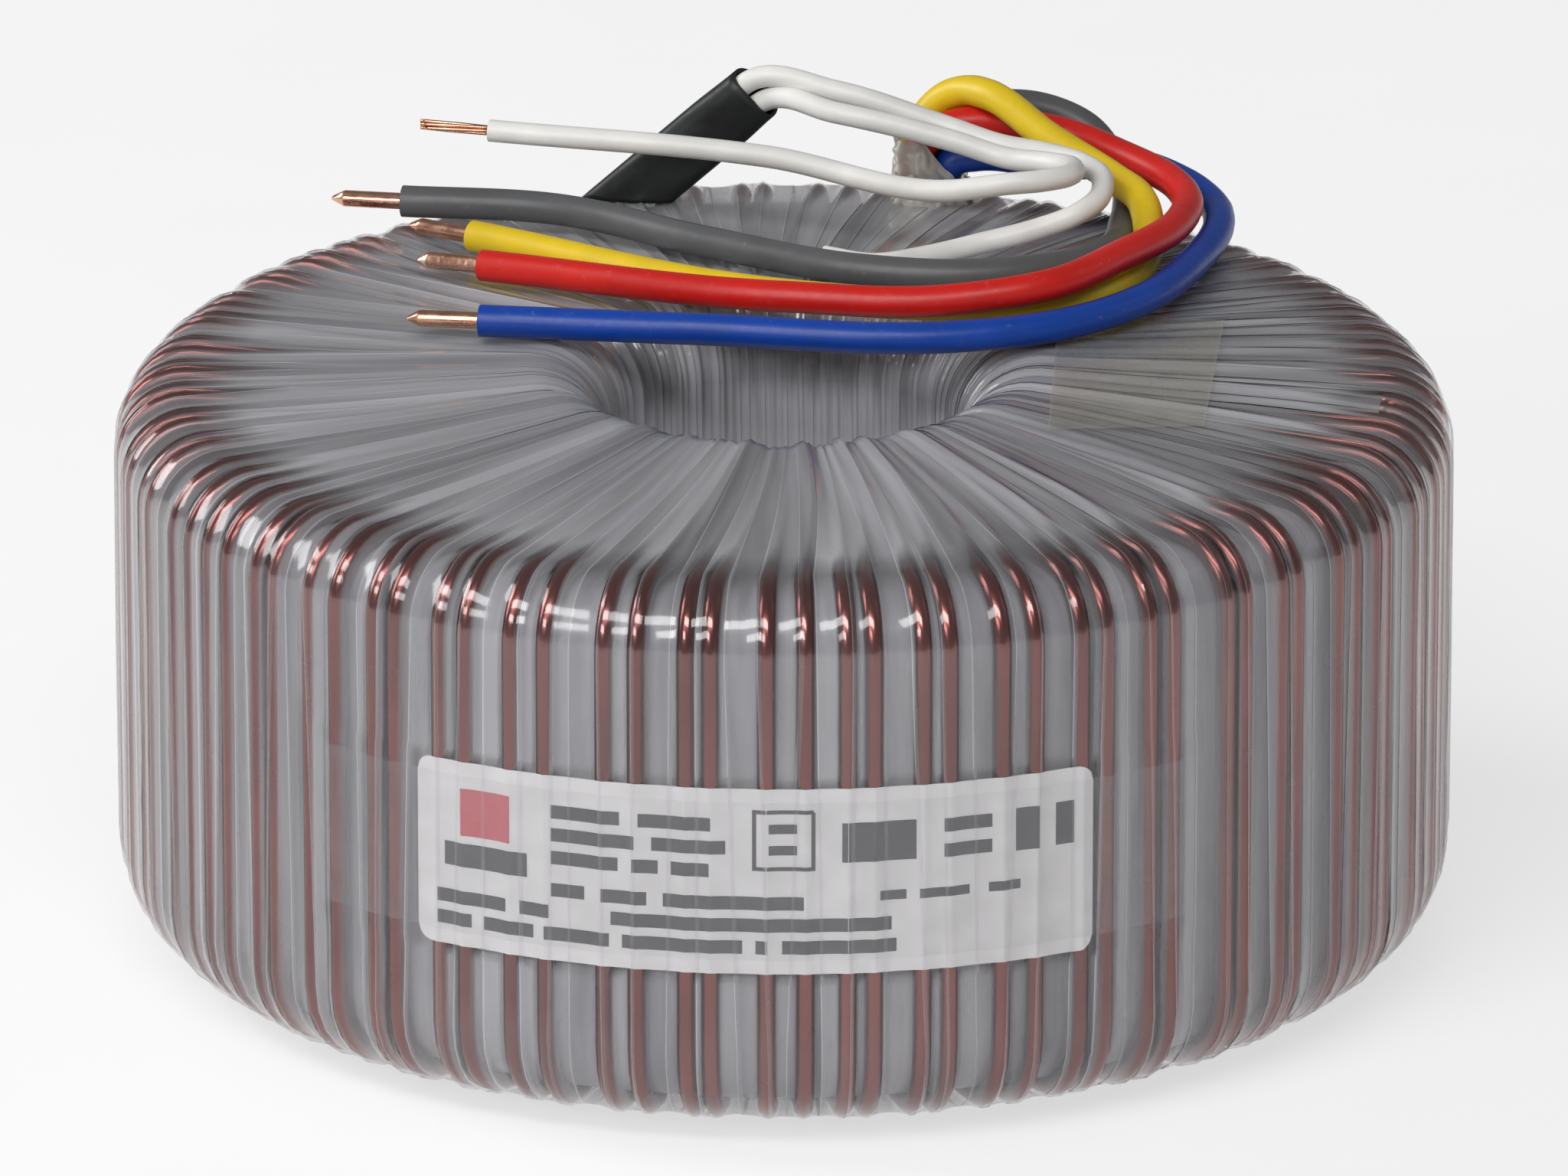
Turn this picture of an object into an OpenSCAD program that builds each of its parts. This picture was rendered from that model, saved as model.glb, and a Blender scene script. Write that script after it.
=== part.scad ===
// Toroidal mains transformer, film wrapped, with flying leads.
// A strip-wound steel ring carries an insulated primary, a layer of film, two secondary windings
// wound side by side as a pair of wires, and an outer wrap of clear film.
// The base of the wrap stands on z = 0 and the hole runs up the z axis. Millimetres.

/* [Overall] */
// Diameter over the outer film
outer_d = 165; // [150:1:185]
// Height over the outer film, at the hub
height = 73.5; // [66:1:90]
// Clear diameter of the centre hole
bore_d = 43; // [41:1:50]
// Radius of the top rim of the outer film
rim_top_r = 9; // [8.7:0.1:12]
// Radius of the bottom rim of the outer film
rim_bottom_r = 12; // [9:0.5:15]
// Radius of the lips of the hole
hub_r = 10; // [9.8:0.1:12]

/* [Outer film] */
// Thickness of the film over a turn of wire
film_t = 0.8; // [0.7:0.05:1]
// Sag of the film between two pairs of turns
film_sag = 0.6; // [0.2:0.05:0.65]
// Room under the film for the label and its tape
film_room = 0.35; // [0.32:0.01:0.45]
// Radius of the flat ring round the hole on which the part stands
foot_r = 46; // [40:1:52]

/* [Secondary windings] */
// Turns of each secondary winding
turns = 51; // [44:1:52]
// Diameter of the secondary wire with its enamel
wire_d = 2.1; // [1.9:0.05:2.15]
// Angle between the two wires of a pair on the side wall, in degrees
pair_angle = 2.1; // [1.9:0.05:2.6]
// Most that a pair wanders from even spacing on the side wall, in degrees
wander = 0.5; // [0:0.1:0.6]

/* [Core and layers] */
// Film between the primary and the secondary
between_t = 0.8; // [0.5:0.1:1]
// Build-up of the primary winding
primary_t = 2.8; // [2:0.1:2.9]
// Film round the core
core_film_t = 0.6; // [0.4:0.1:0.7]
// Clearance between wires and what they lie on
wire_gap = 0.05; // [0.03:0.01:0.1]

/* [Label and tapes] */
// Length of the label round the side wall
label_w = 85; // [60:1:110]
// Height of the label
label_h = 23.5; // [15:0.5:30]
// Corner radius of the label
label_corner_r = 2; // [1:0.5:4]
// Thickness of the label
label_t = 0.12; // [0.08:0.01:0.13]
// Middle of the label, in degrees from the front
label_turn = -2.8; // [-20:0.1:20]
// Drop of the label below the middle of the side wall
label_drop = 2.5; // [0:0.5:4]
// Length of the clear tape that holds the label
label_tape_w = 116; // [112:1:150]
// Height of the clear tape that holds the label
label_tape_h = 20; // [12:0.5:22]
// Thickness of the clear tapes
tape_t = 0.1; // [0.06:0.01:0.1]
// Width of the patch of tape on the top
patch_w = 22; // [14:1:30]
// Length of the patch of tape on the top
patch_l = 44; // [30:1:50]
// Clearance between a label or tape and what it lies on
fit_gap = 0.03; // [0.02:0.005:0.03]

/* [Leads] */
// Diameter of the sleeve on each secondary lead
lead_d = 4; // [3.2:0.1:4]
// Diameter of the insulation on the white primary leads
white_d = 2.8; // [2.2:0.1:2.8]
// Diameter of one strand of a white lead
strand_d = 0.46; // [0.3:0.02:0.5]
// Bared length at the end of a lead
bare_l = 9; // [6:0.5:14]
// Length of the wedge cut on a bared solid wire
cut_l = 1.2; // [0.6:0.1:2]
// Clearance of a lead in the wrap or sleeve round it
lead_gap = 0.1; // [0.05:0.05:0.2]
// Thickness of the film wrapped round the four secondary leads
lead_wrap_t = 0.5; // [0.3:0.1:0.8]
// Height of that wrap above the film
lead_wrap_h = 3; // [2:0.5:3]
// Width of the flattened black sleeve on the primary leads
sleeve_w = 8; // [7.8:0.1:8.6]
// Thickness of the flattened black sleeve
sleeve_h = 4; // [3.9:0.1:4.6]
// Wall of the black sleeve
sleeve_wall = 0.45; // [0.3:0.05:0.5]

/* [Hidden] */

outer_r = outer_d / 2;
bore_r = bore_d / 2;
wire_r = wire_d / 2;
pitch = 360 / turns;

// Two wires side by side in the hole are pushed into two layers: the second lies in the
// grooves of the first. The step between the layers lifts the film at the hub.
wire_inset = film_t + film_room + wire_r;
inner_leg_r = bore_r + wire_inset;
step = let (half = inner_leg_r * sin(pitch / 2))
    inner_leg_r * (cos(pitch / 2) - 1) + sqrt(max(0, pow(wire_d + wire_gap, 2) - half * half)) + wire_gap;

// Insets of each layer from the crest of the outer film
between_inset = wire_inset + wire_r + wire_gap;
primary_inset = between_inset + between_t;
core_film_inset = primary_inset + primary_t;
core_inset = core_film_inset + core_film_t;

// The section of the ring turns its corners in flat steps that stay outside the round:
// three at the rims and two at the lips of the hole.
rim_half = 15;
hub_half = 22.5;
rim_low = [-75, -45, -15];
rim_high = [15, 45, 75];
hub_high = [112.5, 157.5];
hub_low = [202.5, 247.5];
hub_cut = 0.5;
least_corner_r = 0.3;

function corner(centre, r, half, angles) =
    [for (a = angles) centre + max(r, least_corner_r) / cos(half) * [cos(a), sin(a)]];
function rim_low_corner(inset) =
    corner([outer_r - rim_bottom_r, step + rim_bottom_r], rim_bottom_r - inset, rim_half, rim_low);
function rim_high_corner(inset) =
    corner([outer_r - rim_top_r, height - step - rim_top_r], rim_top_r - inset, rim_half, rim_high);
function hub_high_corner(inset, cut = 0) =
    corner([bore_r + hub_r - cut, height - hub_r], hub_r - inset, hub_half, hub_high);
function hub_low_corner(inset, cut = 0) =
    corner([bore_r + hub_r - cut, hub_r], hub_r - inset, hub_half, hub_low);
// Section of a layer; hub_inset is larger under the step between the two wire layers.
function section(inset, hub_inset) = concat(
    rim_low_corner(inset), rim_high_corner(inset),
    hub_high_corner(hub_inset), hub_low_corner(hub_inset));
function film_section(inset) = concat(section(inset, inset), [[foot_r, inset]]);

function polar(p, a) = [p[0] * cos(a), p[0] * sin(a), p[1]];

module ring(points) {
    rotate_extrude($fn = 360) polygon(points);
}

// Angles of wire w (0 or 1) of pair i: on the side wall, and in the hole.
function wall_angle(i, w) = i * pitch + w * pair_angle + wander * sin(i * 137.5);
function hole_angle(i, w) = (i + 0.5 + w / 2) * pitch;

// --- sweep of a mitred tube along a path ---
function unit(v) = v / norm(v);
function directions(path) = [for (i = [1 : len(path) - 1]) unit(path[i] - path[i - 1])];
function carried(u, a, b) = u - (u * b) / (1 + a * b) * (a + b);
function side_vectors(dirs) =
    let (start = unit(cross(dirs[0], abs(dirs[0][2]) < 0.9 ? [0, 0, 1] : [1, 0, 0])))
    [for (i = 0, u = start; i < len(dirs);
        u = i + 1 < len(dirs) ? carried(u, dirs[i], dirs[i + 1]) : u, i = i + 1) u];
function tube_ring(p, along, mitre, u, r, sides) =
    let (v = cross(along, u))
    [for (k = [0 : sides - 1]) let (
        q = r * (cos(360 * k / sides) * u + sin(360 * k / sides) * v))
        p + q - (q * mitre) / (along * mitre) * along];
function tube_points(path, r, sides) =
    let (dirs = directions(path), us = side_vectors(dirs), last = len(path) - 1)
    [for (i = [0 : last]) each tube_ring(path[i], dirs[max(i - 1, 0)],
        unit(dirs[max(i - 1, 0)] + dirs[min(i, last - 1)]), us[max(i - 1, 0)], r, sides)];
function tube_faces(rings, sides) = concat(
    [for (i = [0 : rings - 2], k = [0 : sides - 1]) let (
        a = i * sides + k, b = i * sides + (k + 1) % sides)
        each [[a, a + sides, b], [b, a + sides, b + sides]]],
    [[for (k = [0 : sides - 1]) k]],
    [[for (k = [sides - 1 : -1 : 0]) (rings - 1) * sides + k]]);

module tube(path, d, sides) {
    polyhedron(tube_points(path, d / 2, sides), tube_faces(len(path), sides));
}

// Puts its children with their z axis along v, at p.
module along(p, v) {
    translate(p) rotate([0, acos(v[2] / norm(v)), atan2(v[1], v[0])]) children();
}

// --- routes of the leads, each from where it leaves the film to the end of its insulation ---
// The four secondary leads stand in a square where they leave. They rise over the back rim, turn
// round to the right and lie across the top. The white ones stand free, side by side at first.
exit_at = [18.5, 70, 71.5];
exit_step = lead_d / 2 + lead_gap / 2;
route_red = [
    exit_at + [-exit_step, -exit_step, 0], exit_at + [-exit_step, -exit_step, 4.5],
    [17.7, 68, 79.2], [20.8, 68.2, 81.2], [28, 68.5, 81.6], [34.5, 67.5, 80.8], [42.9, 61.5, 79.4],
    [49, 52.5, 78.9], [50.5, 45.5, 78.8], [49.4, 37.5, 78.9], [41.5, 22, 79.4], [33, 11.5, 79.3],
    [19.5, 9, 78], [0, 12, 77.5], [-37.5, 31, 75.2]];
route_yellow = [
    exit_at + [-exit_step, exit_step, 0], exit_at + [-exit_step, exit_step, 5.5],
    [17.5, 72.2, 80.5], [20.3, 72, 83.8], [22.9, 70.5, 85.2], [25.7, 67.5, 85.7],
    [33.1, 60, 82.6], [41.4, 52.5, 79.5], [44.6, 47, 78.7], [45.6, 40, 76.3], [43.4, 28, 75],
    [36, 17, 75.4], [19.5, 14.5, 75.6], [0, 18.5, 75.6], [-39, 42, 75.4]];
route_blue = [
    exit_at + [exit_step, -exit_step, 0], exit_at + [exit_step, -exit_step, 3.9],
    [21.7, 67.9, 76.9], [24.2, 67.6, 77.5], [35, 67.3, 76.5], [44, 66.8, 76.7], [50.5, 61, 76.1],
    [54, 54, 75.4], [54.5, 47, 75.6], [51, 31.5, 75.5], [43.5, 15.5, 75.6], [33.5, 6.5, 75.6],
    [19.5, 2, 75.6], [-9.5, 5, 75.6], [-37.5, 9, 75.4]];
route_grey = [
    exit_at + [exit_step, exit_step, 0], exit_at + [exit_step, exit_step, 4.5],
    [21.9, 73.2, 79.3], [24.6, 75.3, 81], [30, 77, 81.2], [34.6, 77, 80.2], [38.7, 75.8, 78.3],
    [41.7, 73, 75], [43.3, 70, 72.4], [43.6, 66.6, 72.15], [43.5, 62.5, 74.05], [42.8, 50, 74.7],
    [39.5, 35, 75.2], [32, 28.5, 75.6], [22.5, 26, 75.6], [10, 28, 75.6], [-9.5, 39.5, 75.4],
    [-29.5, 53.5, 75.2], [-48, 57, 75]];
// The black sleeve is straight, and the white leads lie side by side across its width.
sleeve_from = [-19.5, 67.5, 72];
sleeve_to = [-3.5, 64.5, 87];
sleeve_l = norm(sleeve_to - sleeve_from);
function in_sleeve(distance, side) =
    let (v = unit(sleeve_to - sleeve_from), flat = norm([v[0], v[1]]))
    sleeve_from + distance * v + side * (white_d / 2 + lead_gap) *
        [v[2] * v[0] / flat, v[2] * v[1] / flat, -flat];
route_white_a = [
    in_sleeve(5, 1), in_sleeve(sleeve_l, 1), [6.5, 58.5, 86.2], [21.5, 55, 83.5], [28, 53, 82],
    [33, 49, 82.7], [36, 44, 83.7], [35.6, 39.5, 84.2], [32.3, 37, 84.3], [27.5, 36.5, 84],
    [21, 38.5, 82.5], [-2, 49, 83.5], [-37, 58, 84]];
route_white_b = [
    in_sleeve(5, -1), in_sleeve(sleeve_l + 1.5, -1), [6.5, 62.5, 88.2], [21, 59, 84], [27, 57, 82.5],
    [33, 54, 82.3], [37.5, 50, 82.2], [39.8, 45, 81.8], [39.3, 41.3, 80.6], [36.5, 39, 79.2],
    [32, 38.4, 77.6], [25, 37.5, 76], [17, 34.3, 75.1], [11.5, 32.4, 74.9], [5, 35.3, 74.9]];

// --- inner ring ---
module core() {
    color("slategray") ring(section(core_inset, core_inset + step));
}

module shell(outer_inset, inner_inset) {
    difference() {
        ring(section(outer_inset, outer_inset + step));
        ring(section(inner_inset, inner_inset + step));
    }
}

module core_film() {
    color("khaki") shell(core_film_inset, core_inset);
}

module primary_winding() {
    color("saddlebrown") shell(primary_inset, core_film_inset);
}

module between_film() {
    color("whitesmoke") shell(between_inset, primary_inset);
}

// --- secondary windings ---
// Turn i runs over the top to the hole, down, back under the ring and up the next pair's place.
function turn_path(i, w, hub_inset) = concat(
    [for (p = hub_high_corner(hub_inset)) polar(p, hole_angle(i, w))],
    [for (p = hub_low_corner(hub_inset)) polar(p, hole_angle(i, w))],
    [for (p = rim_low_corner(wire_inset)) polar(p, wall_angle(i + 1, w))],
    [for (p = rim_high_corner(wire_inset)) polar(p, wall_angle(i + 1, w))]);
function winding_path(w, hub_inset) = concat(
    [for (p = [for (k = [1, 2]) rim_high_corner(wire_inset)[k]]) polar(p, wall_angle(0, w))],
    [for (i = [0 : turns - 2]) each turn_path(i, w, hub_inset)]);

module secondary_winding_a() {
    color("chocolate") tube(winding_path(0, wire_inset + step), wire_d, 5);
}

module secondary_winding_b() {
    color("sienna") tube(winding_path(1, wire_inset), wire_d, 5);
}

// --- outer film ---
// Columns 0 and 1 of pair i run over its two wires and column 2 lies in the sag beside them.
function film_wall_angle(i, k) =
    k < 2 ? wall_angle(i, k) : (wall_angle(i, 1) + wall_angle(i + 1, 0)) / 2;
function film_hole_angle(i, k) = k < 2 ? hole_angle(i, k) : hole_angle(i, 1) + pitch / 4;
function sag_at(row) = row < 6 ? film_sag : film_sag / 2;
function film_rows(k) = let (crest = film_section(0), deep = k < 2 ? 0 : 1)
    [for (row = [0 : 10]) let (s = deep * sag_at(row))
        row < 3 ? rim_low_corner(s)[row] : row < 6 ? rim_high_corner(s)[row - 3] :
        row < 8 ? hub_high_corner(s, hub_cut)[row - 6] : row < 10 ? hub_low_corner(s, hub_cut)[row - 8] :
        [foot_r, s]];
function film_column(i, k) = let (rows = film_rows(k))
    [for (row = [0 : 10])
        polar(rows[row], row < 6 ? film_wall_angle(i, k) :
            row < 10 ? film_hole_angle(i, k) :
            (film_hole_angle(i, k) + film_wall_angle(i + 1, k)) / 2)];
film_row_count = 11;
function film_index(c, row) = row < film_row_count ?
    (c % (3 * turns)) * film_row_count + row :
    ((c + 3) % (3 * turns)) * film_row_count + row - film_row_count;
film_points = [for (i = [0 : turns - 1], k = [0 : 2]) each film_column(i, k)];
film_faces = [for (c = [0 : 3 * turns - 1], row = [0 : film_row_count - 1])
    let (a = film_index(c, row), b = film_index(c + 1, row),
        p = film_index(c, row + 1), q = film_index(c + 1, row + 1))
    each [[a, p, b], [b, p, q]]];

module outer_film() {
    color("lightgray", 0.5)
    difference() {
        polyhedron(film_points, film_faces);
        ring(film_section(film_t));
        translate([0, 0, -1]) cylinder(r = bore_r, h = height + 2, $fn = 360);
        translate([exit_at[0], exit_at[1], top_out[1]])
            cube([lead_slot, lead_slot, rim_top_r], center = true);
    }
}

// --- label and tapes ---
function rounded(w, h, r) =
    [for (q = [0 : 3], a = [0, 30, 60, 90])
        let (sx = q == 0 || q == 3 ? 1 : -1, sy = q < 2 ? 1 : -1)
        [sx * (w / 2 - r), sy * (h / 2 - r)] + r * [cos(a + 90 * q), sin(a + 90 * q)]];
label_r = outer_r - film_t - film_room + fit_gap;
label_middle = (height + rim_bottom_r - rim_top_r) / 2 - label_drop;
tape_corner_r = 0.5;

// A piece of the side wall, w long and h high, with rounded corners.
module wall_piece(r, t, w, h, corner_r) {
    half_turn = w / r / 2 * 180 / PI;
    translate([0, 0, label_middle]) rotate(label_turn)
    intersection() {
        difference() {
            cylinder(r = r + t, h = h + 2, center = true, $fn = 360);
            cylinder(r = r, h = h + 3, center = true, $fn = 360);
        }
        rotate([90, 0, 0]) linear_extrude(r + 2 * t)
            polygon(rounded(2 * (r + t) * sin(half_turn), h, corner_r));
    }
}

module label() {
    color("white") wall_piece(label_r, label_t, label_w, label_h, label_corner_r);
}

module label_tape() {
    color("lightcyan", 0.5)
        wall_piece(label_r + label_t + fit_gap, tape_t, label_tape_w, label_tape_h, tape_corner_r);
}

// Height of the film's crests on the top face at radius r.
top_in = hub_high_corner(0)[0];
top_out = rim_high_corner(0)[2];
top_slope = (top_in[1] - top_out[1]) / (top_out[0] - top_in[0]);
function top_z(r) = top_in[1] - (r - top_in[0]) * top_slope;
patch_at = [43, -3.5];
patch_cut = 5;
patch_skew = 1;

module tape_patch() {
    color("wheat", 0.6)
    intersection() {
        ring([for (q = [[top_in[0], 0], [top_out[0], 0], [top_out[0], tape_t], [top_in[0], tape_t]])
            [q[0], top_z(q[0]) + fit_gap + q[1]]]);
        translate([patch_at[0], patch_at[1], 0]) linear_extrude(height + 2)
            polygon([[-patch_w / 2, -patch_l / 2],
                [patch_w / 2 - patch_cut, patch_skew - patch_l / 2],
                [patch_w / 2, patch_cut - patch_l / 2],
                [patch_w / 2 - patch_skew, patch_l / 2 - patch_skew],
                [2 * patch_skew - patch_w / 2, patch_l / 2]]);
    }
}

// --- sleeve and wrap at the exits ---
module flat_tube(w, h, length) {
    linear_extrude(length) {
        square([w - h, h], center = true);
        for (side = [-1, 1]) translate([side * (w - h) / 2, 0]) circle(d = h, $fn = 32);
    }
}

// Length of the sleeve's straight continuation below its start, cut off by the film
sleeve_sunk = 6;

module primary_sleeve() {
    color("#161818")
    difference() {
        along(sleeve_from, sleeve_to - sleeve_from) translate([0, 0, -sleeve_sunk]) difference() {
            flat_tube(sleeve_w, sleeve_h, sleeve_l + sleeve_sunk);
            translate([0, 0, -1])
                flat_tube(sleeve_w - 2 * sleeve_wall, sleeve_h - 2 * sleeve_wall,
                    sleeve_l + sleeve_sunk + 2);
        }
        ring(film_section(-fit_gap));
    }
}

lead_slot = 2 * lead_d + 3 * lead_gap;
slot_corner_r = 1.5;

module lead_wrap() {
    wrap_w = lead_slot + 2 * lead_wrap_t;
    color("beige", 0.6)
    difference() {
        translate([exit_at[0], exit_at[1], top_out[1] - rim_top_r])
            linear_extrude(rim_top_r + lead_wrap_h) difference() {
                polygon(rounded(wrap_w, wrap_w, slot_corner_r + lead_wrap_t));
                polygon(rounded(lead_slot, lead_slot, slot_corner_r));
            }
        ring(film_section(-fit_gap));
    }
}

// --- leads ---
module lead_red() { color("#da2316") tube(route_red, lead_d, 8); }
module lead_yellow() { color("#e8cd28") tube(route_yellow, lead_d, 8); }
module lead_blue() { color("#0a46af") tube(route_blue, lead_d, 8); }
module lead_grey() { color("#5f6062") tube(route_grey, lead_d, 8); }
module lead_white_a() { color("#ebe8e1") tube(route_white_a, white_d, 8); }
module lead_white_b() { color("#ebe8e1") tube(route_white_b, white_d, 8); }

// Bared end of a lead, in line with the last stretch of its route.
module at_end(route) {
    last = len(route) - 1;
    along(route[last], route[last] - route[last - 1]) children();
}
module solid_end(route) {
    color("#c8825f") at_end(route) intersection() {
        cylinder(d = wire_d, h = bare_l, $fn = 32);
        rotate([90, 0, 0]) linear_extrude(2 * wire_d, center = true)
            polygon([[-wire_d, 0], [wire_d, 0], [wire_d, bare_l - 2 * cut_l], [0, bare_l],
                [-wire_d, bare_l - 2 * cut_l]]);
    }
}
// Six strands pressed a little into the one in the middle.
strand_spacing = 0.95;
module stranded_end(route) {
    color("#c8825f") at_end(route) {
        cylinder(d = strand_d, h = bare_l, $fn = 24);
        for (a = [0 : 60 : 300]) rotate(a) translate([strand_spacing * strand_d, 0, 0])
            cylinder(d = strand_d, h = bare_l, $fn = 24);
    }
}
module bare_red() { solid_end(route_red); }
module bare_yellow() { solid_end(route_yellow); }
module bare_blue() { solid_end(route_blue); }
module bare_grey() { solid_end(route_grey); }
module bare_white_a() { stranded_end(route_white_a); }
module bare_white_b() { stranded_end(route_white_b); }

core();
core_film();
primary_winding();
between_film();
secondary_winding_a();
secondary_winding_b();
outer_film();
label();
label_tape();
tape_patch();
primary_sleeve();
lead_wrap();
lead_white_a();
lead_white_b();
lead_red();
lead_yellow();
lead_blue();
lead_grey();
bare_white_a();
bare_white_b();
bare_red();
bare_yellow();
bare_blue();
bare_grey();
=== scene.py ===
"""Film-wrapped toroidal transformer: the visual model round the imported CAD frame."""

import bisect
import math
import random

import bpy
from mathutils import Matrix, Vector, noise


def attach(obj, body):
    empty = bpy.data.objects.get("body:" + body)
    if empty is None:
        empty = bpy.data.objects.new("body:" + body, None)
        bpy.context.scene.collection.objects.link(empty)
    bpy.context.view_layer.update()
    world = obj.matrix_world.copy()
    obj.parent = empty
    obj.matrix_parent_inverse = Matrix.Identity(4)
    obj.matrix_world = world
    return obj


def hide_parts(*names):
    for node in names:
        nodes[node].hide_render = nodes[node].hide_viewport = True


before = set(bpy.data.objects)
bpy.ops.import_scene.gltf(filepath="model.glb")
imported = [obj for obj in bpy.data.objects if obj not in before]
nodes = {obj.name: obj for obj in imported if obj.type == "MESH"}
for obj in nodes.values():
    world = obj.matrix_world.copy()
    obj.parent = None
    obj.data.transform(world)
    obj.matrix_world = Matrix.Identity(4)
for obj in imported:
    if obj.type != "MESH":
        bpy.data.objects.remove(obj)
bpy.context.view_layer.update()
scene = bpy.context.scene
MM = 0.001

# Sizes that repeat or follow from the part's source, in millimetres and degrees.
OUTER_R, HEIGHT, BORE_R = 82.5, 73.5, 21.5
RIM_TOP_R, RIM_BOTTOM_R, HUB_R = 9.0, 12.0, 10.0
STEP = 1.58
TURNS, WIRE_R = 51, 1.05
PITCH = 360 / TURNS
LEAD_D, WHITE_D, BARE_L, STRAND_D = 4.0, 2.8, 9.0, 0.46
LABEL_W, LABEL_H, LABEL_CORNER, LABEL_TURN, LABEL_Z = 85.0, 23.5, 2.0, -92.8, 35.75
LABEL_TAPE_W, LABEL_TAPE_H = 116.0, 20.0

# UV coordinates are in units of UV_UNIT millimetres, and RING_UV goes once round the ring.
UV_UNIT = 100
RING_UV = 5.18


def add_object(name, data):
    obj = bpy.data.objects.new(name, data)
    scene.collection.objects.link(obj)
    return obj


# --- camera
CAMERA_ELEVATION = math.radians(19.64)
CAMERA_DISTANCE, CAMERA_RISE = 2.083, 0.00649
LENS, SENSOR, CLIP_END = 387.5, 36, 60
cam_data = bpy.data.cameras.new("camera")
cam_data.lens, cam_data.sensor_width, cam_data.clip_end = LENS, SENSOR, CLIP_END
camera = scene.camera = add_object("camera", cam_data)
c, s = math.cos(CAMERA_ELEVATION), math.sin(CAMERA_ELEVATION)
back, up = Vector((0, -c, s)), Vector((0, s, c))
camera.location = Vector((0, 0, HEIGHT / 2 * MM)) + back * CAMERA_DISTANCE + up * CAMERA_RISE
camera.rotation_euler = (-back).to_track_quat("-Z", "Y").to_euler()


# --- material helper
class Nodes:
    """A material's node tree, written with one call for each node.

    An input is named with _ for each space, or by its number as i0, i1 and so on.
    """

    def __init__(self, name):
        self.material = bpy.data.materials.new(name)
        self.material.use_nodes = True
        self.tree = self.material.node_tree
        self.tree.nodes.clear()

    def add(self, kind, props=None, out=0, **inputs):
        node = self.tree.nodes.new("ShaderNode" + kind)
        for key, value in (props or {}).items():
            setattr(node, key, value)
        for key, value in inputs.items():
            numbered = key[1:].isdigit()
            socket = node.inputs[int(key[1:]) if numbered else key.replace("_", " ")]
            if isinstance(value, bpy.types.NodeSocket):
                self.tree.links.new(value, socket)
            elif hasattr(value, "__len__") and len(value) == 3 and socket.type == "RGBA":
                socket.default_value = (*value, 1)
            else:
                socket.default_value = value
        return node.outputs[out]

    def math(self, operation, a, b=0.0, clamp=False):
        return self.add("Math", {"operation": operation, "use_clamp": clamp}, i0=a, i1=b)

    def plus(self, a, b, clamp=False):
        return self.math("ADD", a, b, clamp)

    def times(self, a, b):
        return self.math("MULTIPLY", a, b)

    def mix(self, factor, a, b):
        props = {"data_type": "RGBA", "clamp_factor": True}
        return self.add("Mix", props, 2, i0=factor, i6=a, i7=b)

    def ramp(self, factor, low, high, to_low=0.0, to_high=1.0):
        return self.add("MapRange", {"clamp": True}, i0=factor, i1=low, i2=high,
                        i3=to_low, i4=to_high)

    def noise(self, vector, scale, detail=3.0, rough=0.5):
        return self.add("TexNoise", {"noise_dimensions": "3D"}, Vector=vector, Scale=scale,
                        Detail=detail, Roughness=rough)

    def bump(self, height, strength, distance):
        return self.add("Bump", Height=height, Strength=strength, Distance=distance)

    def look(self, channel=0):
        """The look attribute of the points: 0 is its colour, and 2 is one value made of it."""
        return self.add("Attribute", {"attribute_name": "look"}, out=channel)

    def place(self):
        """Place in metres, in the object's own frame."""
        return self.add("TexCoord", out=3)

    def streaks(self, across, along, detail=3, rough=0.5):
        """Noise on the UV map, scaled more across the streaks than along them."""
        at = self.add("TexCoord", out=2)
        at = self.add("Mapping", Vector=at, Scale=(across, along, 1.0))
        return self.noise(at, 1.0, detail, rough)

    def output(self, shader):
        out = self.tree.nodes.new("ShaderNodeOutputMaterial")
        self.tree.links.new(shader, out.inputs["Surface"])
        return self.material

    def principled(self, **inputs):
        return self.output(self.add("BsdfPrincipled", **inputs))


DARKER = 0.82
DUST_GREY = (0.8, 0.8, 0.8)


def insulation(name, colour, roughness):
    """Smooth plastic of uneven tone with a little dust."""
    n = Nodes(name)
    at = n.place()
    cloud = n.noise(at, 90, 3)
    dust = n.noise(at, 900, 4, 0.7)
    tone = n.mix(n.ramp(cloud, 0.35, 0.65), tuple(c * DARKER for c in colour), colour)
    pale = n.mix(n.ramp(dust, 0.62, 0.8, 0.0, 0.1), tone, DUST_GREY)
    rough = n.ramp(dust, 0.3, 0.7, roughness - 0.05, roughness + 0.08)
    relief = n.plus(n.times(cloud, 3.0), n.times(dust, 0.25))
    return n.principled(Base_Color=pale, Roughness=rough,
                        Specular_IOR_Level=0.45, Normal=n.bump(relief, 0.35, 0.0002))


# --- routes of the leads
EXIT = Vector((18.5, 70, 71.5))
EXIT_STEP = 2.05
SLEEVE_FROM, SLEEVE_TO = Vector((-19.5, 67.5, 72)), Vector((-3.5, 64.5, 87))
SLEEVE_L = (SLEEVE_TO - SLEEVE_FROM).length
SLEEVE_WAY = (SLEEVE_TO - SLEEVE_FROM).normalized()
WHITE_ROOM = 0.1


def from_exit(x, y, rise):
    """The first two points of a lead that leaves upright, one step from the exit's middle."""
    foot = EXIT + Vector((x, y, 0)) * EXIT_STEP
    return [foot, foot + Vector((0, 0, rise))]


def across_sleeve():
    """The direction of the sleeve's width, in the upright plane through its axis."""
    v = SLEEVE_WAY
    flat = math.hypot(v.x, v.y)
    return Vector((v.z * v.x / flat, v.z * v.y / flat, -flat))


def in_sleeve(side, *distances):
    """Points of a white lead inside the sleeve, beside its axis."""
    across = across_sleeve() * side * (WHITE_D / 2 + WHITE_ROOM)
    return [SLEEVE_FROM + SLEEVE_WAY * d + across for d in distances]


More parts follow.
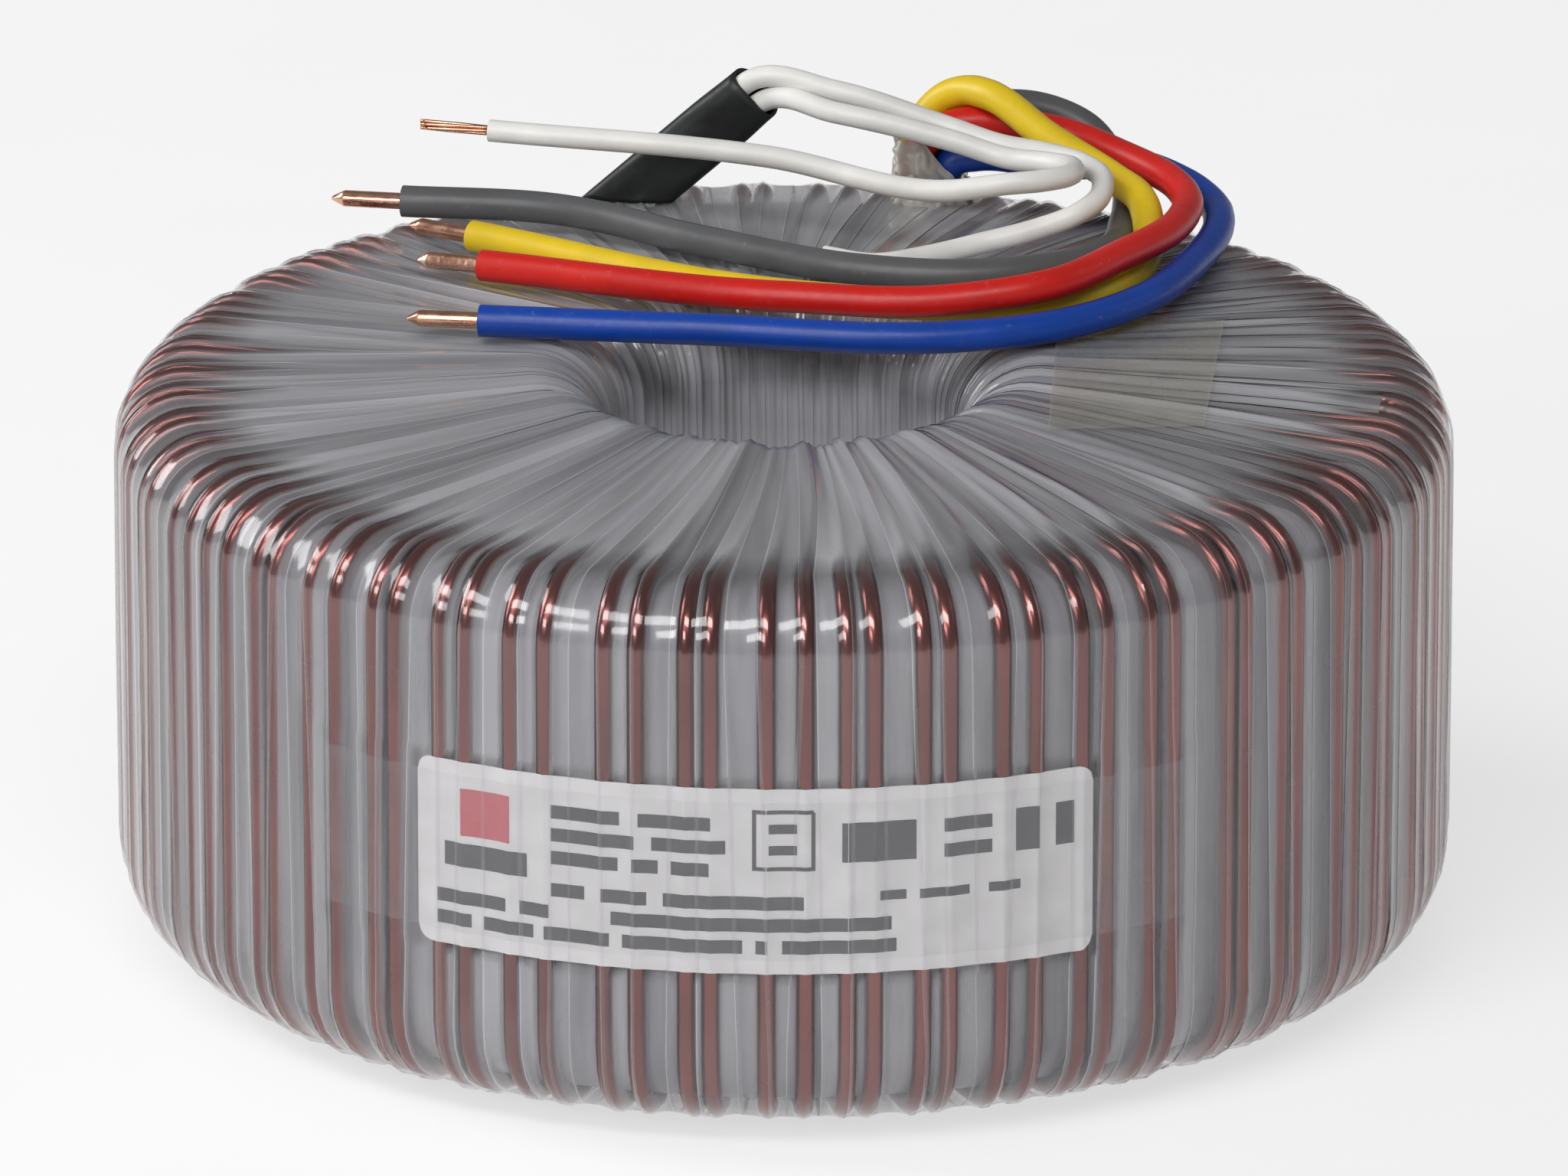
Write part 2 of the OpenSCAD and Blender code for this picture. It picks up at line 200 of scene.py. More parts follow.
# Points listed in millimetres, as in the part's source. The white leads have two
# # more in the sleeve, and white_b lies a little lower at its mouth.
ROUTES = {
    "red": from_exit(-1, -1, 4.5) + [
        (17.7, 68, 79.2), (20.8, 68.2, 81.2), (28, 68.5, 81.6), (34.5, 67.5, 80.8),
        (42.9, 61.5, 79.4), (49, 52.5, 78.9), (50.5, 45.5, 78.8), (49.4, 37.5, 78.9),
        (41.5, 22, 79.4), (33, 11.5, 79.3), (19.5, 9, 78), (0, 12, 77.5), (-37.5, 31, 75.2)],
    "yellow": from_exit(-1, 1, 5.5) + [
        (17.5, 72.2, 80.5), (20.3, 72, 83.8), (22.9, 70.5, 85.2), (25.7, 67.5, 85.7),
        (33.1, 60, 82.6), (41.4, 52.5, 79.5), (44.6, 47, 78.7), (45.6, 40, 76.3), (43.4, 28, 75),
        (36, 17, 75.4), (19.5, 14.5, 75.6), (0, 18.5, 75.6), (-39, 42, 75.4)],
    "blue": from_exit(1, -1, 3.9) + [
        (21.7, 67.9, 76.9), (24.2, 67.6, 77.5), (35, 67.3, 76.5), (44, 66.8, 76.7),
        (50.5, 61, 76.1), (54, 54, 75.4), (54.5, 47, 75.6), (51, 31.5, 75.5), (43.5, 15.5, 75.6),
        (33.5, 6.5, 75.6), (19.5, 2, 75.6), (-9.5, 5, 75.6), (-37.5, 9, 75.4)],
    "grey": from_exit(1, 1, 4.5) + [
        (21.9, 73.2, 79.3), (24.6, 75.3, 81), (30, 77, 81.2), (34.6, 77, 80.2),
        (38.7, 75.8, 78.3), (41.7, 73, 75), (43.3, 70, 72.4), (43.6, 66.6, 72.15),
        (43.5, 62.5, 74.05), (42.8, 50, 74.7), (39.5, 35, 75.2), (32, 28.5, 75.6),
        (22.5, 26, 75.6), (10, 28, 75.6), (-9.5, 39.5, 75.4), (-29.5, 53.5, 75.2), (-48, 57, 75)],
    "white_a": in_sleeve(1, 5, 11, 17, SLEEVE_L) + [
        (6.5, 58.5, 86.2), (21.5, 55, 83.5), (28, 53, 82), (33, 49, 82.7), (36, 44, 83.7),
        (35.6, 39.5, 84.2), (32.3, 37, 84.3), (27.5, 36.5, 84), (21, 38.5, 82.5),
        (-2, 49, 83.5), (-37, 58, 84)],
    "white_b": in_sleeve(-1, 5, 11, 17, SLEEVE_L + 0.8) + [
        (6.5, 62.5, 87.75), (21, 59, 84), (27, 57, 82.5), (33, 54, 82.3), (37.5, 50, 82.2),
        (39.8, 45, 81.8), (39.3, 41.3, 80.6), (36.5, 39, 79.2), (32, 38.4, 77.6),
        (25, 37.5, 76), (17, 34.3, 75.1), (11.5, 32.4, 74.9), (5, 35.3, 74.9)],
}


def tangents(points):
    """Directions of a smooth curve through the points, weighted by how near the neighbours are."""
    steps = [b - a for a, b in zip(points, points[1:])]
    found = [steps[0].normalized()]
    for a, b in zip(steps, steps[1:]):
        found.append((a / a.length * b.length + b / b.length * a.length).normalized())
    return found + [steps[-1].normalized()]


def halved(points):
    """Bezier knots (point, left handle, right handle) with one more knot in each stretch.

    The outer handles of the two ends shape nothing.
    """
    way = tangents(points)
    knots = [[points[0], points[0] - way[0] * 0.5, None]]
    for i in range(len(points) - 1):
        a, d = points[i], points[i + 1]
        reach = (d - a).length / 3
        b, c = a + way[i] * reach, d - way[i + 1] * reach
        ab, bc, cd = (a + b) / 2, (b + c) / 2, (c + d) / 2
        abc, bcd = (ab + bc) / 2, (bc + cd) / 2
        knots[-1][2] = ab
        knots.append([(abc + bcd) / 2, abc, bcd])
        knots.append([d, cd, None])
    knots[-1][2] = points[-1] + way[-1] * 0.5
    return knots


def bezier_length(knots, steps=16):
    total = 0
    for (a, _, b), (d, c, _) in zip(knots, knots[1:]):
        before = a
        for k in range(1, steps + 1):
            t = k / steps
            s = 1 - t
            now = a * s**3 + b * 3 * s * s * t + c * 3 * s * t * t + d * t**3
            total += (now - before).length
            before = now
    return total


def cord_curve(name, route, diameter, material):
    """A lead as a round Bezier curve, and its length in metres."""
    knots = halved([Vector(p) * MM for p in route])
    curve = bpy.data.curves.new(name, "CURVE")
    curve.dimensions = "3D"
    curve.resolution_u = 10
    curve.bevel_depth = diameter / 2 * MM
    curve.bevel_resolution = 6
    curve.use_fill_caps = True
    curve.twist_mode = "MINIMUM"
    spline = curve.splines.new("BEZIER")
    spline.bezier_points.add(len(knots) - 1)
    for point, (at, left, right) in zip(spline.bezier_points, knots):
        point.co, point.handle_left, point.handle_right = at, left, right
        point.handle_left_type = point.handle_right_type = "FREE"
    curve.materials.append(material)
    return add_object(name, curve), bezier_length(knots)


# --- mesh helper
def add_mesh(name, points, faces, material, uvs=None, looks=None):
    """A smooth mesh from points in millimetres; uvs and looks hold a value for each point."""
    mesh = bpy.data.meshes.new(name)
    mesh.from_pydata([tuple(c * MM for c in p) for p in points], [], faces)
    if uvs:
        layer = mesh.uv_layers.new(name="UVMap")
        for loop, spot in zip(mesh.loops, layer.data):
            spot.uv = uvs[loop.vertex_index]
    if looks:
        layer = mesh.attributes.new("look", "FLOAT_COLOR", "POINT")
        for spot, value in zip(layer.data, looks):
            spot.color = (*value, 1)
    mesh.shade_smooth()
    mesh.update()
    mesh.materials.append(material)
    return add_object(name, mesh)


def finish_piece(obj, slot, *replaced):
    if replaced:
        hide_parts(*replaced)
    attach(obj, "root")
    return obj


def grid_faces(rows, columns, close_rows=False, close_columns=False, start=0):
    """Four-sided faces over points that were listed row by row."""
    faces = []
    for i in range(rows if close_rows else rows - 1):
        for j in range(columns if close_columns else columns - 1):
            a, b = start + i * columns + j, start + i * columns + (j + 1) % columns
            c = start + ((i + 1) % rows) * columns + (j + 1) % columns
            d = start + ((i + 1) % rows) * columns + j
            faces.append((a, b, c, d))
    return faces


def frames_along(path):
    """Two directions across each point of a path, without twist."""
    way = tangents(path)
    side = way[0].orthogonal().normalized()
    found = []
    for t in way:
        side = (side - t * side.dot(t)).normalized()
        found.append((side, t.cross(side)))
    return found


def tube_faces(rings, sides, start=0):
    """Faces of a tube's wall and of its two ends."""
    last = start + (rings - 1) * sides
    return grid_faces(rings, sides, close_columns=True, start=start) + [
        tuple(start + k for k in reversed(range(sides))), tuple(last + k for k in range(sides))]


def tube_mesh(path, r, sides, start=0):
    """Points and faces of a round tube along a path."""
    points = []
    for p, (u, v) in zip(path, frames_along(path)):
        for k in range(sides):
            a = math.tau * k / sides
            points.append(p + u * (r * math.cos(a)) + v * (r * math.sin(a)))
    return points, tube_faces(len(path), sides, start)


# --- section of the ring
# Where the side wall has stations, as shares of its height: two at each edge of the label.
SIDE_SHARES = (0.09, 0.18, 0.211, 0.37, 0.53, 0.6875, 0.718, 0.86)


def arc(centre, r, from_deg, to_deg, steps):
    """Stations (r, z, normal r, normal z) on an arc of the section."""
    found = []
    for k in range(steps + 1):
        a = math.radians(from_deg + (to_deg - from_deg) * k / steps)
        found.append((centre[0] + r * math.cos(a), centre[1] + r * math.sin(a),
                      math.cos(a), math.sin(a)))
    return found


def line(a, b, steps):
    """Stations between two others, which aren't among them, with the normal turning evenly.

    Steps is a number of equal steps, or the shares of the way themselves.
    """
    shares = [k / steps for k in range(1, steps)] if isinstance(steps, int) else steps
    found = []
    for t in shares:
        mid = [a[i] + (b[i] - a[i]) * t for i in range(4)]
        size = math.hypot(mid[2], mid[3])
        found.append((mid[0], mid[1], mid[2] / size, mid[3] / size))
    return found


def section(inset, hub_inset, counts):
    """Stations (r, z, normal r, normal z, part) once round the ring's section.

    The counts are the steps on each of its eight stretches, in the order of the parts below.
    """
    low, side, high, top, lip, bore, lip_low, bottom = counts
    rim_low = arc((OUTER_R - RIM_BOTTOM_R, STEP + RIM_BOTTOM_R), RIM_BOTTOM_R - inset,
                  -90, 0, low)
    rim_high = arc((OUTER_R - RIM_TOP_R, HEIGHT - STEP - RIM_TOP_R), RIM_TOP_R - inset,
                   0, 90, high)
    hub_high = arc((BORE_R + HUB_R, HEIGHT - HUB_R), HUB_R - hub_inset, 90, 180, lip)
    hub_low = arc((BORE_R + HUB_R, HUB_R), HUB_R - hub_inset, 180, 270, lip_low)
    parts = [("rim_low", rim_low), ("side", line(rim_low[-1], rim_high[0], side)),
             ("rim_high", rim_high), ("top", line(rim_high[-1], hub_high[0], top)),
             ("hub_high", hub_high), ("bore", line(hub_high[-1], hub_low[0], bore)),
             ("hub_low", hub_low), ("bottom", line(hub_low[-1], rim_low[0], bottom))]
    return [(*s, part) for part, stations in parts for s in stations]


# How far a pair wanders, and the least and most between its two wires, in degrees.
PAIR_WANDER, PAIR_GAP_LOW, PAIR_GAP_HIGH = 0.85, 1.95, 3.3
PAIR_START = -0.3
draw = random.Random(11)
PAIR_SHIFT = [draw.uniform(-PAIR_WANDER, PAIR_WANDER) for _ in range(TURNS)]
PAIR_GAP = [draw.uniform(PAIR_GAP_LOW, PAIR_GAP_HIGH) for _ in range(TURNS)]


def wall_angle(i, w):
    """Where a wire stands on the side wall: the pairs wander, as hand-guided winding does."""
    k = i % TURNS
    return i * PITCH + PAIR_SHIFT[k] + w * PAIR_GAP[k] + PAIR_START


def hole_angle(i, w):
    """Where a wire stands in the hole: evenly, half a pitch further on."""
    return (i + 0.5 + w / 2) * PITCH


def polar(r, z, degrees):
    a = math.radians(degrees)
    return Vector((r * math.cos(a), r * math.sin(a), z))


def wave_at(x, y, z):
    return noise.noise(Vector((x, y, z)))


def ease(t):
    """0 to 1 with a soft start and end."""
    t = min(max(t, 0.0), 1.0)
    return t * t * (3 - 2 * t)


def radial_share(r):
    """0 on the side wall and 1 at the hole, for what turns as it crosses the top or bottom."""
    return min(max((OUTER_R - RIM_TOP_R - r) / (OUTER_R - RIM_TOP_R - BORE_R - HUB_R), 0), 1)


def wire_angle(i, w, station):
    """Where a wire of a turn crosses a station of the section."""
    part, share = station[4], radial_share(station[0])
    if part in ("rim_high", "side", "rim_low"):
        return wall_angle(i, w)
    if part == "top":
        return wall_angle(i, w) + (hole_angle(i, w) - wall_angle(i, w)) * share
    if part == "bottom":
        return wall_angle(i, w) + (hole_angle(i - 1, w) - wall_angle(i, w)) * share
    if part == "hub_low":
        return hole_angle(i - 1, w)
    return hole_angle(i, w)


# --- windings
# The wire is drawn a little thicker than it is, as the film makes it look. In the hole the
# windings lie in two layers.
SEEN_WIRE_R = 1.17
WIRE_SIDES = 12
WIRE_INSET = 1.6
HUB_INSETS = (4.3, 2.9)
WIRE_STATIONS = (5, 4, 7, 8, 6, 4, 5, 5)
START_STATION = 3


def winding(w):
    """One winding as a single path: over the top, down the hole, under and up the next place."""
    loop = section(WIRE_INSET, HUB_INSETS[w], WIRE_STATIONS)
    order = ("top", "hub_high", "bore", "hub_low", "bottom", "rim_low", "side", "rim_high")
    by_part = {p: [s for s in loop if s[4] == p] for p in order}
    path = [polar(s[0], s[1], wall_angle(0, w)) for s in by_part["rim_high"][START_STATION:]]
    for i in range(TURNS - 1):
        for part in order:
            j = i if part in ("top", "hub_high", "bore") else i + 1
            path += [polar(s[0], s[1], wire_angle(j, w, s)) for s in by_part[part]]
    return path


def enamel(name):
    """Copper under red-brown enamel, darker where it is worn."""
    dark, light, worn_tone = (0.15, 0.042, 0.036), (0.22, 0.066, 0.056), (0.12, 0.045, 0.045)
    n = Nodes(name)
    at = n.place()
    cloud = n.noise(at, 45, 3)
    worn = n.noise(at, 200, 2, 0.5)
    tone = n.mix(n.ramp(cloud, 0.35, 0.65), dark, light)
    tone = n.mix(n.ramp(worn, 0.5, 0.8, 0.0, 0.25), tone, worn_tone)
    rough = n.ramp(worn, 0.3, 0.7, 0.22, 0.28)
    return n.principled(Base_Color=tone, Metallic=0.9, Roughness=rough,
                        Coat_Weight=0.3, Coat_Roughness=0.1,
                        Normal=n.bump(cloud, 0.15, 0.0003))


copper = enamel("enamelled_copper")
for w, letter in enumerate("ab"):
    points, faces = tube_mesh(winding(w), SEEN_WIRE_R, WIRE_SIDES)
    obj = add_mesh(f"winding_{letter}", points, faces, copper)
    finish_piece(obj, "winding_copper", f"secondary_winding_{letter}")


# --- outer film
# The film is wound in turns of tape. The last column of each lies under the next turn.
TAPES = 137
TAPE_PITCH = 360 / TAPES
TAPE_COLUMNS = (0.0, 0.05, 0.17, 0.29, 0.41, 0.53, 0.65, 0.77, 0.89, 1.0, 1.12)
EDGE_JOG = 0.26
FILM_STATIONS = (6, SIDE_SHARES, 10, 13, 9, 6, 5, 4)
FILM_INSET = 0.05
film_stations = section(FILM_INSET, FILM_INSET, FILM_STATIONS)
RIM_Z = HEIGHT - STEP - RIM_TOP_R

# Sag between wires and between gathers: its share of the gap, and the most, in millimetres.
WIRE_SAG, WIRE_SAG_MOST = 0.10, 0.6
FOLD_SAG, FOLD_SAG_MOST = 0.15, 0.75
WIRE_AMOUNT = {"rim_low": 1.0, "side": 1.0, "rim_high": 1.05, "hub_high": 0.2, "bore": 0.2,
               "hub_low": 0.2}
FOLD_AMOUNT = {"hub_high": 0.85, "bore": 0.5, "hub_low": 0.6}
MASK_FADE_ACROSS, MASK_FADE_UP = 1.2, 1.5

# Haze over a wire and in the open, the half width of the touch and how far it takes to fade.
SIDE_HAZE = (0.06, 0.5)
RIM_LOW_HAZE = (0.10, 0.42)
HUB_HAZE = 0.94
LABEL_HAZE = 0.05
MOST_HAZE = 0.98
TOUCH, TOUCH_FADE = 0.92, 0.6

# How far in from the rim the wires show, and where they show further: (degrees, how much).
CLEAR_REACH, CLEAR_WAVE, STREAK_WIDTH = 0.25, 0.08, 1.5
CLEAR_STREAKS = ((172.0, 0.75), (178.5, 0.3), (186.0, 0.2), (-15.0, 0.3), (-21.0, 0.5),
                 (-27.5, 0.35), (-36.0, 0.2))


def ring_of(angles):
    """Angles in order round the ring, with one more at each end."""
    row = sorted(a % 360 for a in angles)
    return [row[-1] - 360] + row + [row[0] + 360]


wire_rows = [ring_of(wire_angle(i, w, s) for i in range(TURNS) for w in (0, 1))
             for s in film_stations]
# The gathers of the film at the hole: where each lies, its depth and its tone.
GATHERS = 40
GATHER_WANDER = 0.28
draw = random.Random(5)
GATHER_AT = [(k + draw.uniform(-GATHER_WANDER, GATHER_WANDER)) * 360 / GATHERS
             for k in range(GATHERS)]
GATHER_FOLD = [draw.uniform(0.5, 1.3) for _ in range(GATHERS + 2)]
GATHER_TONE = [draw.random() for _ in range(GATHERS + 2)]
TWIST = 2.2


def turned(station):
    """How far the tape has turned round the ring at a station, from the rim to the hole."""
    if station[4] == "top":
        return TWIST * radial_share(station[0])
    if station[4] in ("hub_high", "bore"):
        return TWIST * (station[1] - HUB_R) / (HEIGHT - HUB_R)
    return 0.0


gather_rows = [ring_of(a + turned(s) for a in GATHER_AT) for s in film_stations]


def gap_at(row, degrees, r):
    """The gap of a row of angles that an angle is in: width, share across it and number."""
    a = degrees % 360
    k = min(max(bisect.bisect_right(row, a), 1), len(row) - 1)
    gap = max(row[k] - row[k - 1], 0.01)
    return math.radians(gap) * r, (a - row[k - 1]) / gap, k


def wire_relief(row, degrees, r):
    """How far the film sags at an angle, from 0 over a wire."""
    width, t, _ = gap_at(wire_rows[row], degrees, r)
    return min(WIRE_SAG * width, WIRE_SAG_MOST) * (1 - abs(2 * t - 1) ** 3)


def fold_relief(row, degrees, r):
    """How far the film sags between two gathers."""
    width, t, k = gap_at(gather_rows[row], degrees, r)
    return min(FOLD_SAG * width, FOLD_SAG_MOST) * (1 - (2 * t - 1) ** 2) * GATHER_FOLD[k]


def label_mask(degrees, z, width=LABEL_W):
    """1 over the label, or over its wider tape, and 0 a little way off it."""
    x = abs((degrees - LABEL_TURN + 180) % 360 - 180) * math.radians(1) * OUTER_R
    y = abs(z - LABEL_Z)
    across = 1 - ease((x - width / 2) / MASK_FADE_ACROSS)
    return across * (1 - ease((y - LABEL_H / 2) / MASK_FADE_UP))


def inward(station):
    """0 on the side wall and rim, 1 in the hole, and growing between them."""
    r, part = station[0], station[4]
    if part in ("top", "bottom"):
        return radial_share(r)
    return 1.0 if part in ("hub_high", "bore", "hub_low") else 0.0


def film_depth(row, degrees, tape, s):
    """Depth of the film's outer face below its crest line, across one turn of tape."""
    station = film_stations[row]
    r, z, part = station[0], station[1], station[4]
    inner = inward(station)
    mask = label_mask(degrees, z, LABEL_TAPE_W) if part == "side" else 0.0
    wires = WIRE_AMOUNT.get(part, 1.0 - 0.8 * ease(inner * 1.2)) * (1 - 0.45 * mask)
    folds = FOLD_AMOUNT.get(part, 0.85 * ease(inner * 1.4))
    depth = wire_relief(row, degrees, r) * wires
    if folds:
        depth += fold_relief(row, degrees, r) * folds
    depth += tape["step"] * s * (1 - 0.3 * mask)
    depth += tape["pleat"] * inner * (1 - abs(2 * s - 1)) * 0.4
    ripple = wave_at(degrees * 0.6, z * 0.02, r * 0.03)
    depth += (0.05 + 0.16 * inner) * (ripple + 0.5) * (1 - 0.6 * mask)
    return max(depth, 0.0)


def clear_reach(degrees):
    """How far in from the rim, as a share of the top's width, the wires show."""
    reach = CLEAR_REACH + CLEAR_WAVE * wave_at(degrees * 0.35, 2.0, 0.0)
    for at, more in CLEAR_STREAKS:
        off = (degrees - at + 180) % 360 - 180
        reach += more * math.exp(-(off / STREAK_WIDTH) ** 2)
    return reach


def film_haze(row, degrees, tape):
    """Share of light that the film scatters: least where it touches a wire."""
    station = film_stations[row]
    r, z, part = station[0], station[1], station[4]
    width, t, _ = gap_at(wire_rows[row], degrees, r)
    away = min(t, 1 - t) * width
    touch = TOUCH
    if part == "side":
        over, open_ = SIDE_HAZE
    elif part == "rim_high":
        up = ease((z - RIM_Z) / (RIM_TOP_R * 0.45))
        over, open_ = SIDE_HAZE[0] - 0.04 * up, SIDE_HAZE[1] - 0.12 * up
    elif part == "rim_low":
        over, open_ = RIM_LOW_HAZE
    elif part == "top":
        reach = clear_reach(degrees)
        inner = radial_share(r)
        fade = ease(inner / reach)
        over, open_ = 0.03 + 0.89 * fade, 0.38 + 0.55 * ease(inner / (0.75 * reach))
        touch *= 1 - 0.6 * fade
    elif part == "bottom":
        over, open_ = 0.12 + 0.7 * ease(radial_share(r) * 4), 0.8
    else:
        over = open_ = HUB_HAZE
    haze = over + (open_ - over) * ease((away - touch) / TOUCH_FADE)
    haze *= 0.9 + 0.2 * tape["tone"]
    if part == "side":
        haze += (LABEL_HAZE - haze) * label_mask(degrees, z)
    return min(haze, MOST_HAZE)


def film_look(row, degrees, tape, first):
    """The haze of a point, its tone, and its painted highlight: a pale line painted along each
    tape's first edge, and paint that brightens the hole's film.
    """
    station = film_stations[row]
    inner = inward(station)
    facet = GATHER_TONE[gap_at(gather_rows[row], degrees, station[0])[2]]
    tone = tape["tone"] + (facet - tape["tone"]) * 0.75 * ease(inner * 1.5)
    tone = 0.3 + 0.7 * tone - 0.18 * ease(inner * 4)
    # Painted highlight: a pale line along each tape's first edge, in place of the glint of light
    # on it. It is fainter towards the hole and over the label.
    painted_highlight = 1.0 - 0.7 * inner if first else 0.0
    if station[4] == "side":
        painted_highlight *= 1 - 0.7 * label_mask(degrees, station[1])
    # Painted light: in the hole the film's tone and painted highlight are raised to pale, in place
    # of the light and reflections that reach the hole's wall.
    if station[4] in ("bore", "hub_low"):
        painted_highlight, tone = 0.9, 1.0
    return film_haze(row, degrees, tape), tone, painted_highlight


def arc_lengths(stations):
    """The way along the section to each station, in millimetres."""
    total, found = 0.0, []
    for a, b in zip(stations, stations[1:] + stations[:1]):
        found.append(total)
        total += math.hypot(b[0] - a[0], b[1] - a[1])
    return found


film_run = arc_lengths(film_stations)


draw = random.Random(7)
# Each turn of tape: how far its edge strays at four places, its step, tone and pleat.
film_tapes = [{"jog": [draw.uniform(-EDGE_JOG, EDGE_JOG) * TAPE_PITCH for _ in range(4)],
               "step": draw.uniform(0.04, 0.13), "tone": draw.random(),
               "pleat": draw.uniform(-0.2, 0.9)} for _ in range(TAPES)]


def tape_edge(k, row):
    """The angle of a tape's first edge at a station."""
    r, z, _, _, part = film_stations[row]
    rim_top, rim_low, hub_top, hub_low = film_tapes[k % TAPES]["jog"]
    inner = radial_share(r)
    if part in ("rim_high", "top"):
        jog = rim_top + (hub_top - rim_top) * inner
    elif part == "side":
        jog = rim_low + (rim_top - rim_low) * (z - RIM_BOTTOM_R) / (RIM_Z - RIM_BOTTOM_R)
    elif part == "hub_high":
        jog = hub_top
    elif part == "bore":
        jog = hub_low + (hub_top - hub_low) * (z - HUB_R) / (HEIGHT - 2 * HUB_R)
    elif part == "hub_low":
        jog = hub_low
    else:
        jog = rim_low + (hub_low - rim_low) * inner
    return k * TAPE_PITCH + jog + turned(film_stations[row])


def build_film(material):
    points, faces, uvs, looks = [], [], [], []
    for k, tape in enumerate(film_tapes):
        start = len(points)
        for row, (r, z, nr, nz, _) in enumerate(film_stations):
            a, b = tape_edge(k, row), tape_edge(k + 1, row)
            for s in TAPE_COLUMNS:
                degrees = a + (b - a) * s
                depth = film_depth(row, degrees, tape, s)
                points.append(polar(r - nr * depth, z - nz * depth, degrees))
                uvs.append((degrees / 360 * RING_UV, film_run[row] / UV_UNIT))
                looks.append(film_look(row, degrees, tape, s == 0.0))
        faces += grid_faces(len(film_stations), len(TAPE_COLUMNS), close_rows=True, start=start)
    return add_mesh("outer_film_wrap", points, faces, material, uvs, looks)


def clear_film(n, amount, body, normal, rough, straight_on, tint):
    """Clear film that scatters by an amount, under a gloss that grows at a low angle.

    The gloss goes by Facing, which is the same from both sides of a thin film.
    """
    clear = n.add("BsdfTransparent", Color=tint)
    skin = n.add("MixShader", i0=amount, i1=clear, i2=body)
    gloss = n.add("BsdfGlossy", Color=(1, 1, 1), Normal=normal, Roughness=rough)
    facing = n.add("LayerWeight", out=1, Blend=0.5, Normal=normal)
    share = n.times(n.math("POWER", facing, 4.0), 0.75)
    share = n.plus(share, straight_on, clamp=True)
    return n.output(n.add("MixShader", i0=share, i1=skin, i2=gloss))


def film_material():
    """Clear film with milky streaks, fine scratches and a painted highlight: paler, hazier film
    along the tape edges and in the hole.
    """
    dark, pale, scratched = (0.12, 0.12, 0.135), (0.42, 0.42, 0.445), (0.6, 0.6, 0.62)
    n = Nodes("polyester_film")
    split = n.tree.nodes.new("ShaderNodeSeparateColor")
    n.tree.links.new(n.look(), split.inputs[0])
    haze, tone, painted_highlight = split.outputs
    broad = n.streaks(16, 1.6, 2)
    cloud = n.streaks(7, 7)
    fine = n.streaks(70, 4, 3, 0.55)
    scratch = n.streaks(260, 9, 2)
    milk = n.mix(tone, dark, pale)
    milk = n.mix(n.ramp(broad, 0.35, 0.7, 0.0, 0.35), milk, (0.42, 0.425, 0.445))
    milk = n.mix(n.ramp(scratch, 0.68, 0.74, 0.0, 0.2), milk, scratched)
    # Painted highlight: the look's third channel makes the film paler and hazier, as a bright line
    # along tape edges and a pale wash in the hole.
    milk = n.mix(n.times(painted_highlight, 0.8), milk, (0.6, 0.6, 0.63))
    stir = n.plus(n.times(broad, 0.6), n.times(fine, 0.2))
    amount = n.times(haze, n.plus(stir, 0.6))
    amount = n.plus(amount, n.times(painted_highlight, 0.3), clamp=True)
    relief = n.plus(n.times(broad, 1.2), n.times(fine, 0.16))
    relief = n.plus(relief, n.times(cloud, 0.8))
    normal = n.bump(relief, 0.4, 0.0005)
    body = n.add("BsdfPrincipled", Base_Color=milk, Roughness=0.38, Specular_IOR_Level=0.35,
                 Normal=normal)
    return clear_film(n, amount, body, normal, n.ramp(cloud, 0.3, 0.7, 0.07, 0.17), 0.05,
                      (0.985, 0.975, 0.99))


finish_piece(build_film(film_material()), "outer_film", "outer_film")


# --- film between the windings
BETWEEN_INSET = WIRE_INSET + WIRE_R + 0.1
BETWEEN_HUB_INSET = 5.5
BETWEEN_STATIONS = (5, 4, 5, 8, 4, 4, 4, 4)
BETWEEN_WAVE = 0.12


def milky_material():
    """Many layers of film, milky and streaked."""
    n = Nodes("milky_film")
    streak = n.streaks(30, 3)
    cloud = n.streaks(10, 6)
    tone = n.mix(n.ramp(streak, 0.35, 0.65), (0.26, 0.26, 0.28), (0.5, 0.5, 0.52))
    tone = n.mix(n.ramp(cloud, 0.4, 0.7, 0.0, 0.4), tone, (0.6, 0.59, 0.6))
    normal = n.bump(streak, 0.4, 0.0004)
    return n.principled(Base_Color=tone, Roughness=0.32,
                        Specular_IOR_Level=0.5, Normal=normal)


def build_between(material):
    """A wavy ring under the wires, with a column at each degree."""
    stations = section(BETWEEN_INSET, BETWEEN_HUB_INSET, BETWEEN_STATIONS)
    columns = 361
    points, uvs = [], []
    for (r, z, nr, nz, _), length in zip(stations, arc_lengths(stations)):
        for k in range(columns):
            a = math.radians(k % 360)
            wave = wave_at(math.cos(a) * 40, math.sin(a) * 40, length * 0.02)
            depth = BETWEEN_WAVE + BETWEEN_WAVE * wave
            points.append(polar(r - nr * depth, z - nz * depth, k % 360))
            uvs.append((k / 360 * RING_UV, length / UV_UNIT))
    faces = grid_faces(len(stations), columns, close_rows=True)
    return add_mesh("between_layer", points, faces, material, uvs)


finish_piece(build_between(milky_material()), "inner_film", "between_film")


# --- label and its tape
SIDE_ROW = next(i for i, s in enumerate(film_stations) if s[4] == "side")
LABEL_RELIEF = 0.55
# Depths under the film's crests, so that the tape lies over the ink, and the ink on the paper.
CARRIER_DEPTH, INK_DEPTH, LABEL_DEPTH = 0.235, 0.27, 0.3
END_CROWDING = 0.04
BORDER, PLAIN = (1.0, 0.0, 0.0), (0.0, 0.0, 0.0)


